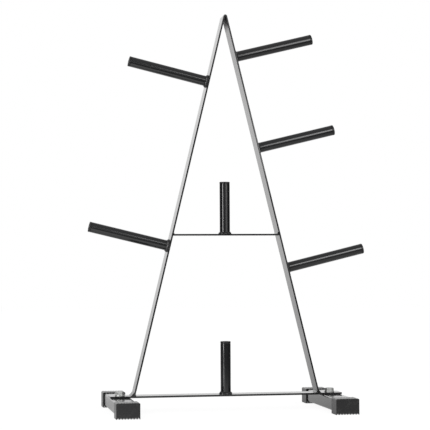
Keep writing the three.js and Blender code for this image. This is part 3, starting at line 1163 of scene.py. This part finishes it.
@dataclass
class FootCap:
    """A sleeve cap on the end of a foot, with gripping teeth below and low ribs above."""

    side: Side
    end: End
    tube_gap: float = 0.0003
    side_wall: float = 0.0026
    floor_wall: float = 0.0013
    end_wall: float = 0.003
    rib_height: float = 0.0009
    rib_count: int = 8
    rib_steps: int = 10
    tooth_count: int = 9
    tooth_depth: float = 0.0038
    tooth_tip: float = 0.0012
    tooth_root: float = 0.0024
    tooth_edge: float = 0.00045
    tooth_steps: int = 2
    corner_radius: float = 0.0016
    corner_steps: int = 6
    pocket_radius: float = 0.004
    pocket_steps: int = 8
    rim_radius: float = 0.0004

    def outline(self, width: float, height: float) -> list[Vector]:
        """Draws the cap as seen from its end.

        Args:
            width: The cap's whole width.
            height: Its whole height, from the teeth to the tops of the ribs.

        Returns:
            The outline, anticlockwise from the left-hand tooth, with Y up from the floor.
        """
        half, tip, root = width / 2, self.tooth_tip / 2, self.tooth_root / 2
        half_pitch = (width - self.tooth_tip) / (self.tooth_count - 1) / 2
        corners = []
        for index in range(2 * self.tooth_count - 1):
            middle = tip - half + index * half_pitch
            reach, level = (root, self.tooth_depth) if index % 2 else (tip, 0)
            corners += [Corner(middle + way * reach, level, self.tooth_edge) for way in (-1, 1)]
        points = rounded(corners, self.tooth_steps, closed=False)
        radius, steps = self.corner_radius, self.corner_steps
        shoulder = height - self.rib_height
        right = Vector((half - radius, shoulder - radius))
        left = Vector((-right.x, right.y))
        rib_half = right.x / self.rib_count
        points += arc(right, radius, radius, (0, QUARTER), steps)
        for rib in range(self.rib_count):
            middle = Vector((right.x - (2 * rib + 1) * rib_half, shoulder))
            points += arc(middle, rib_half, self.rib_height, (0, math.pi), self.rib_steps)
        points += arc(left, radius, radius, (QUARTER, math.pi), steps)
        points.append(Vector((-half, left.y)))
        return points

    def build(self) -> None:
        """Makes the cap as one closed skin, with its pocket open towards the middle of the foot."""
        node = f"{self.side.word}_{self.end.word}_foot_cap"
        box = NodeBox(node)
        width, length, height = box.size
        pocket_height = NodeBox(f"{self.side.word}_foot_tube").size.z + 2 * self.tube_gap
        lift = Vector((0, self.tooth_depth + self.floor_wall + pocket_height / 2))
        pocket_width = width - 2 * self.side_wall
        pocket = rounded_rectangle(pocket_width, pocket_height, self.pocket_radius, self.pocket_steps)
        pocket = [point + lift for point in reversed(pocket)]
        draft = Draft()
        outside = draft.side(self.outline(width, height), 0, length, self.rim_radius)
        mouth = draft.level(pocket, length)
        floor = draft.level(pocket, self.end_wall)
        draft.skin(outside)
        draft.skin([mouth, floor])
        draft.close(outside[0])
        draft.close(outside[-1], mouth)
        draft.close(floor)
        outer_y = box.high.y if self.end is End.REAR else box.low.y
        rows = ((1, 0, 0, box.middle.x), (0, 0, -self.end.value, outer_y), (0, 1, 0, box.low.z), (0, 0, 0, 1))
        draft.make(f"{node}_sleeve", CAP_PLASTIC, node, Matrix(rows))


@dataclass
class FootFixing:
    """The hex bolt that holds a foot, with its washer and the nut welded inside the foot's tube."""

    side: Side
    turned_degrees: float
    bolt_radius: float = 0.006
    hex_flats: float = 0.019
    head_height: float = 0.0075
    top_share: float = 0.94
    chamfer_degrees: float = 30.0
    dish_share: float = 0.62
    dish_depth: float = 0.0005
    thread_pitch: float = 0.00175
    thread_depth: float = 0.0009
    thread_steps: int = 8
    thread_clearance: float = 0.0003
    tip_chamfer: float = 0.0008
    washer_edge: float = 0.0005
    plain_length: float = 0.006

    def build(self) -> None:
        """Makes the washer, the bolt and the nut."""
        word, edge = self.side.word, self.washer_edge
        washer, bolt, nut = (NodeBox(f"{word}_foot_{part}") for part in ("washer", "bolt", "nut"))
        flat = ring(BOLT_HOLE_RADIUS, washer.size.x / 2, (0, washer.size.z), (edge / 2, edge))
        spin = Matrix.Rotation(math.radians(self.turned_degrees), 4, "Z")
        pieces = (
            ("flat_washer", "washer", Draft().turned(flat, BOLT_STEPS, closed=True), washer.low.z, Matrix()),
            ("hex_bolt", "bolt", self.bolt(washer.high.z - bolt.low.z), washer.high.z, spin),
            ("weld_nut", "nut", self.nut(nut.size.z), nut.high.z, Matrix.Rotation(math.pi, 4, "X")),
        )
        for name, part, draft, level, turned in pieces:
            place = Matrix.Translation((washer.middle.x, washer.middle.y, level)) @ turned
            draft.make(f"{word}_{name}", ZINC, f"{word}_foot_{part}", place)

    def hexagon(self, draft: Draft, height: float) -> list[VertexLoop]:
        """Adds the loops of a hexagon whose top corners are turned off.

        Args:
            draft: The mesh in the making.
            height: The hexagon's height.

        Returns:
            Its bottom loop, the loop where the turning starts, and the round loop at its top.
        """
        top_radius = self.hex_flats / 2 * self.top_share
        slope = math.tan(math.radians(self.chamfer_degrees))
        facet = math.tau / 6
        bottom, shoulder = [], []
        for point in circle(1, BOLT_STEPS):
            from_flat = (math.atan2(point.y, point.x) + facet / 2) % facet - facet / 2
            reach = self.hex_flats / 2 / math.cos(from_flat)
            bottom.append(Vector((*(point * reach), 0)))
            shoulder.append(Vector((*(point * reach), height - (reach - top_radius) * slope)))
        return [draft.loop(bottom), draft.loop(shoulder), draft.level(circle(top_radius, BOLT_STEPS), height)]

    def bolt(self, reach: float) -> Draft:
        """Drafts the bolt: a dished hex head, a plain shank and a rolled thread.

        Args:
            reach: How far the shank goes down from the underside of the head.

        Returns:
            The draft, with the underside of the head at zero.
        """
        draft = Draft()
        dish = self.hex_flats / 2 * self.dish_share
        tip = self.bolt_radius - self.thread_depth - self.tip_chamfer
        loops = self.hexagon(draft, self.head_height)[::-1]
        for depth in (0, self.dish_depth):
            loops.insert(0, draft.level(circle(dish - depth, BOLT_STEPS), self.head_height - depth))
        for level in (0, -self.plain_length):
            loops.append(draft.level(circle(self.bolt_radius, BOLT_STEPS), level))
        threaded = reach - self.plain_length - self.tip_chamfer
        count = round(threaded / self.thread_pitch * self.thread_steps)
        for step in range(1, count):
            level = -self.plain_length - threaded * step / count
            runout = min(step / self.thread_steps, 1)
            points = []
            for index, point in enumerate(circle(1, BOLT_STEPS)):
                turns = -level / self.thread_pitch + index / BOLT_STEPS
                groove = abs(2 * (turns % 1) - 1) * self.thread_depth * runout
                points.append(point * (self.bolt_radius - groove))
            loops.append(draft.level(points, level))
        loops.append(draft.level(circle(tip, BOLT_STEPS), -reach))
        draft.skin(loops, capped=True)
        return draft

    def nut(self, height: float) -> Draft:
        """Drafts the nut.

        Args:
            height: Its height.

        Returns:
            The draft, standing on the face that is welded to the tube.
        """
        draft = Draft()
        bore, chamfer = self.bolt_radius + self.thread_clearance, self.tip_chamfer / 2
        inner = ((bore + chamfer, height), (bore, height - chamfer), (bore, 0))
        inner_loops = [draft.level(circle(radius, BOLT_STEPS), level) for radius, level in inner]
        draft.skin([*self.hexagon(draft, height), *inner_loops], closed=True)
        return draft


@dataclass
class Foot:
    """One foot: its box-section tube, a sleeve cap on each end, and what bolts it to the base bar."""

    side: Side
    bolt_turn: float
    wall: float = 0.002
    corner_radius: float = 0.004
    corner_steps: int = 8
    rim_radius: float = 0.0002
    hole_reach: float = 0.005

    def build(self) -> None:
        """Makes the tube, the caps and the fixing."""
        self.build_tube()
        for end in End:
            FootCap(self.side, end).build()
        FootFixing(self.side, self.bolt_turn).build()

    def build_tube(self) -> None:
        """Makes the tube, with the bolt's hole through its top wall."""
        node = f"{self.side.word}_foot_tube"
        box = NodeBox(node)
        size, middle = box.size, box.middle
        outer = rounded_rectangle(size.x, size.z, self.corner_radius, self.corner_steps)
        bore = self.corner_radius - self.wall
        inner = rounded_rectangle(size.x - 2 * self.wall, size.z - 2 * self.wall, bore, self.corner_steps)
        draft = Draft().prism([outer, inner[::-1]], -size.y / 2, size.y / 2, self.rim_radius)
        lying = Matrix.Translation(middle) @ Matrix.Rotation(QUARTER, 4, "X")
        tube = draft.put(f"{self.side.word}_box_tube", COAT, lying)
        hole = [circle(BOLT_HOLE_RADIUS, BOLT_STEPS)]
        drill = Draft().prism(hole, -self.hole_reach, self.hole_reach, self.rim_radius)
        self.bore(tube, drill.put("drill", COAT, Matrix.Translation((middle.x, middle.y, box.high.z))))
        dress(tube, COAT, node)

    def bore(self, tube: Piece, drill: Piece) -> None:
        """Cuts a drill's shape out of the tube's mesh.

        Args:
            tube: The tube.
            drill: The shape to cut away, which is used up.
        """
        cut = tube.modifiers.new("bolt hole", "BOOLEAN")
        cut.object = drill
        depsgraph = bpy.context.evaluated_depsgraph_get()
        bored = bpy.data.meshes.new_from_object(tube.evaluated_get(depsgraph))
        tube.modifiers.remove(cut)
        tube.data = bored
        bpy.data.objects.remove(drill)


# Studio


@dataclass(frozen=True)
class Lamp:
    """A soft panel lamp, aimed at the middle of the rack.

    Its azimuth is 0 in front of the rack and grows towards the right.
    """

    name: str
    azimuth: float
    elevation: float
    distance: float
    width: float
    height: float
    brightness: float

    def build(self, target: Vector) -> None:
        """Hangs the lamp.

        Args:
            target: The point that it is aimed at.
        """
        turn, lift = math.radians(self.azimuth), math.radians(self.elevation)
        away = Vector((math.sin(turn) * math.cos(lift), -math.cos(turn) * math.cos(lift), math.sin(lift)))
        data = bpy.data.lights.new(self.name, "AREA")
        data.shape = "RECTANGLE"
        data.size = self.width
        data.size_y = self.height
        data.energy = self.brightness * math.pi * self.width * self.height
        lamp = placed(self.name, data)
        lamp.location = target + away * self.distance
        lamp.rotation_euler = away.to_track_quat("Z", "Y").to_euler()
        log.info("lamp: %s", self.name)


@dataclass(frozen=True)
class Pool:
    """A soft pool of light on the floor, as the steel mirrors it."""

    centre: Place
    reach: float
    brightness: float


@dataclass(frozen=True, kw_only=True)
class PaleFloor(Finish):
    """The studio's pale floor, white to the camera except for the rack's shadow.

    In reflections it is dimmer, and it fades out to the sides and where the front of the studio is dark.
    Under the caps of the feet, where no light gets in between the teeth, it is plain matt.
    """

    name: str = "pale studio floor"
    colour: Colour = (0.86, 0.86, 0.86)
    camera_share: float = 0.82
    mirror_share: float = 0.9
    lift: float = 1.13
    mottle: float = 0.02
    mottle_scale: float = 9.0
    mottle_detail: float = 3.0
    mottle_span: Span = (0.3, 0.7)
    front_span: Span = (-1.35, -0.6)
    front_brightness: Span = (0.06, 0.42)
    back_span: Span = (-0.3, 1.2)
    back_rise: float = 0.32
    side_span: Span = (0.5, 1.0)
    side_share: float = 0.15
    pools: tuple[Pool, ...] = (
        Pool((-0.36, -0.45, 0.0), 0.70, 0.50),
        Pool((-1.05, -0.76, 0.0), 0.80, 2.2),
        Pool((0.32, -0.45, 0.0), 0.60, 0.12),
    )
    centre_x: float
    cap: NodeBox
    shade_span: Span = (0.005, 0.030)
    shade_side: float = 0.004

    def under_caps(self, graph: Graph, place: Outputs) -> Socket:
        """Masks the floor under the caps of the feet.

        Args:
            graph: The material's graph.
            place: The place on the floor, as X, Y and Z.

        Returns:
            One well under a cap, fading to nothing at its sides and at the end of the foot.
        """
        aside = graph.apart(place["X"], self.centre_x)
        across = graph.apart(aside, self.cap.middle.x - self.centre_x)
        sides = graph.ramp(graph.maths("SUBTRACT", self.cap.size.x / 2, across), 0.0, self.shade_side)
        depth = graph.maths("SUBTRACT", -self.cap.low.y, graph.maths("ABSOLUTE", place["Y"]))
        ends = graph.ramp(depth, *self.shade_span)
        return graph.product(sides, ends, graph.maths("LESS_THAN", depth, self.cap.size.y))

    def surface(self, graph: Graph) -> Socket:
        """Adds the floor's nodes.

        Args:
            graph: The material's graph.

        Returns:
            The shader's output.
        """
        uneven = graph.ramp(graph.noise(self.mottle_scale, self.mottle_detail), *self.mottle_span)
        darker = tuple(part - self.mottle for part in self.colour)
        colour = graph.blend(uneven, self.colour, darker)
        matt = graph.add("ShaderNodeBsdfDiffuse", {"Color": colour}).outputs["BSDF"]
        place = graph.axes(graph.where)
        lit = graph.ramp(place["Y"], *self.front_span, *self.front_brightness)
        behind = graph.ramp(place["Y"], *self.back_span, 0.0, self.back_rise)
        aside = graph.apart(place["X"], self.centre_x)
        fading = graph.ramp(aside, *self.side_span, 1.0, self.side_share)
        mirrored = graph.product(graph.maths("ADD", lit, behind), fading)
        for pool in self.pools:
            away = graph.add("ShaderNodeVectorMath", {0: graph.where, 1: pool.centre}, operation="DISTANCE")
            spill = graph.ramp(away.outputs["Value"], pool.reach, 0.0, 0.0, pool.brightness)
            mirrored = graph.maths("ADD", mirrored, spill)
        path = graph.add("ShaderNodeLightPath").outputs
        seen = graph.maths("ADD", path["Is Camera Ray"], path["Is Transmission Ray"])
        mirrored = graph.product(path["Is Glossy Ray"], mirrored)
        white = graph.glow(graph.raised(mirrored, (seen, self.lift)))
        open_floor = graph.maths("SUBTRACT", 1.0, self.under_caps(graph, place))
        share = graph.product(open_floor, self.camera_share, seen)
        share = graph.raised(share, (path["Is Glossy Ray"], self.mirror_share))
        return graph.add("ShaderNodeMixShader", {0: share, 1: matt, 2: white}).outputs["Shader"]


@dataclass(frozen=True)
class LitPaper(Finish):
    """The backdrop's paper as the glossy steel mirrors it: shaded towards the floor."""

    name: str = "lit backdrop paper"
    foot_brightness: float = 0.66
    middle_rise: float = 0.24
    top_rise: float = 0.13
    middle_span: Span = (-0.15, 0.30)
    top_span: Span = (0.30, 0.85)

    def surface(self, graph: Graph) -> Socket:
        """Adds the paper's nodes.

        Args:
            graph: The material's graph.

        Returns:
            The shader's output.
        """
        level = graph.axes(graph.where)["Z"]
        low = graph.ramp(level, *self.middle_span)
        high = graph.ramp(level, *self.top_span)
        return graph.glow(graph.raised(self.foot_brightness, (low, self.middle_rise), (high, self.top_rise)))


@dataclass(frozen=True)
class PhotoCamera:
    """The camera at the photograph's viewing angle.

    It stands off the rack's centre plane. Yaw turns it to the right, pitch lifts it, and roll turns the
    picture clockwise.
    """

    focal_pixels: float = 1548.67
    picture_pixels: float = 430.0
    sensor_width: float = 36.0
    far_limit: float = 60.0
    yaw: float = 9.554
    pitch: float = 1.881
    roll: float = -0.318
    position: Place = (-0.65209, -3.73074, 0.35143)

    def build(self, centre_x: float) -> None:
        """Makes the camera and gives it to the scene.

        Args:
            centre_x: Where the rack's centre plane lies.
        """
        yaw, pitch, roll = map(math.radians, (self.yaw, self.pitch, self.roll))
        ahead = Vector((math.sin(yaw) * math.cos(pitch), math.cos(yaw) * math.cos(pitch), math.sin(pitch)))
        level = Vector((math.cos(yaw), -math.sin(yaw), 0))
        right = Matrix.Rotation(-roll, 3, ahead) @ level
        data = bpy.data.cameras.new("photo camera")
        data.sensor_width = self.sensor_width
        data.lens = self.focal_pixels / self.picture_pixels * self.sensor_width
        data.clip_end = self.far_limit
        camera = placed("photo camera", data)
        axes = Matrix((right, right.cross(ahead), -ahead)).transposed().to_4x4()
        camera.matrix_world = Matrix.Translation(Vector(self.position) + Vector((centre_x, 0, 0))) @ axes
        bpy.context.scene.camera = camera


@dataclass
class Studio:
    """The floor, the white surroundings, the lamps and the camera."""

    centre_x: float
    target_height: float = 0.45
    floor_radius: float = 9.0
    floor_bands: int = 4
    backdrop_distance: float = 2.0
    backdrop_half_width: float = 0.95
    backdrop_height: float = 2.2
    backdrop_bulge: float = 0.1
    backdrop_columns: int = 12
    sky_span: Span = (0.1, 0.6)
    sky_brightness: Span = (0.07, 0.38)
    fill_brightness: float = 0.5
    lamps: tuple[Lamp, ...] = (
        Lamp("tall strip at the left", -54.0, 8.0, 2.6, 0.55, 1.9, 8.5),
        Lamp("broad panel at the right", 32.8, 7.0, 2.41, 1.52, 0.9, 1.0),
        Lamp("low panel at the front right", 23.6, 16.5, 1.83, 0.69, 0.6, 2.9),
        Lamp("dim panel at the front", -2.0, 6.0, 2.62, 0.62, 0.9, 0.5),
        Lamp("panel over the camera", 16.5, 24.0, 3.2, 0.9, 0.5, 3.0),
    )

    def build(self) -> None:
        """Sets up everything round the rack."""
        self.build_floor()
        self.build_backdrop()
        self.build_world()
        for lamp in self.lamps:
            lamp.build(Vector((self.centre_x, 0, self.target_height)))
        PhotoCamera().build(self.centre_x)
        bpy.context.scene.view_settings.view_transform = "Standard"

    def build_floor(self) -> None:
        """Makes the floor as a wide disc."""
        draft = Draft()
        radii = [self.floor_radius * band / self.floor_bands for band in range(1, self.floor_bands + 1)]
        loops = [draft.level(circle(radius, ROUND_STEPS), 0) for radius in radii]
        draft.close(loops[0])
        draft.skin(loops)
        finish = PaleFloor(centre_x=self.centre_x, cap=NodeBox("right_front_foot_cap"))
        draft.put("studio_floor", finish)

    def build_backdrop(self) -> None:
        """Hangs the bowed backdrop that the steel mirrors; nothing but a mirrored ray meets it."""
        draft = Draft()
        columns = []
        for step in range(self.backdrop_columns + 1):
            share = 2 * step / self.backdrop_columns - 1
            across = self.centre_x + share * self.backdrop_half_width
            depth = self.backdrop_distance - self.backdrop_bulge * share**2
            columns.append(draft.loop(Vector((across, depth, level)) for level in (0, self.backdrop_height)))
        for left, right in zip(columns, columns[1:]):
            draft.mesh.faces.new((left[0], right[0], right[1], left[1]))
        backdrop = draft.put("studio_backdrop", LitPaper())
        for ray in ("camera", "diffuse", "transmission", "shadow"):
            setattr(backdrop, f"visible_{ray}", False)

    def build_world(self) -> None:
        """Makes the surroundings: white to the camera, and in reflections a dark room with a dim ceiling."""
        world = bpy.data.worlds.new("studio surroundings")
        bpy.context.scene.world = world
        world.use_nodes = True
        graph = Graph(world.node_tree)
        toward = graph.add("ShaderNodeTexCoord").outputs["Generated"]
        mirrored = graph.ramp(graph.axes(toward)["Z"], *self.sky_span, *self.sky_brightness)
        path = graph.add("ShaderNodeLightPath").outputs
        seen = graph.maths("MAXIMUM", path["Is Camera Ray"], path["Is Transmission Ray"])
        plain = graph.raised(self.fill_brightness, (seen, 1.0 - self.fill_brightness))
        change = graph.maths("SUBTRACT", mirrored, plain)
        strength = graph.raised(plain, (path["Is Glossy Ray"], change))
        back = graph.add("ShaderNodeBackground", {"Color": (1, 1, 1, 1), "Strength": strength})
        graph.add("ShaderNodeOutputWorld", {"Surface": back.outputs["Background"]})


def main() -> None:
    """Builds the rack's sub-assemblies in order, then the studio."""
    logging.basicConfig(level=logging.INFO, format="%(message)s")
    legs = AFrame()
    legs.build()
    Crossbars(legs).build()
    FrameWelds(legs).build()
    for seed, (name, tube_length) in enumerate(HOLDER_LENGTHS.items(), start=FIRST_HOLDER_SEED):
        PlateHolder(name, seed, tube_length).build()
    Foot(Side.LEFT, bolt_turn=24.0).build()
    Foot(Side.RIGHT, bolt_turn=16.4).build()
    Studio(legs.centre_x).build()


if __name__ == "__main__":
    main()
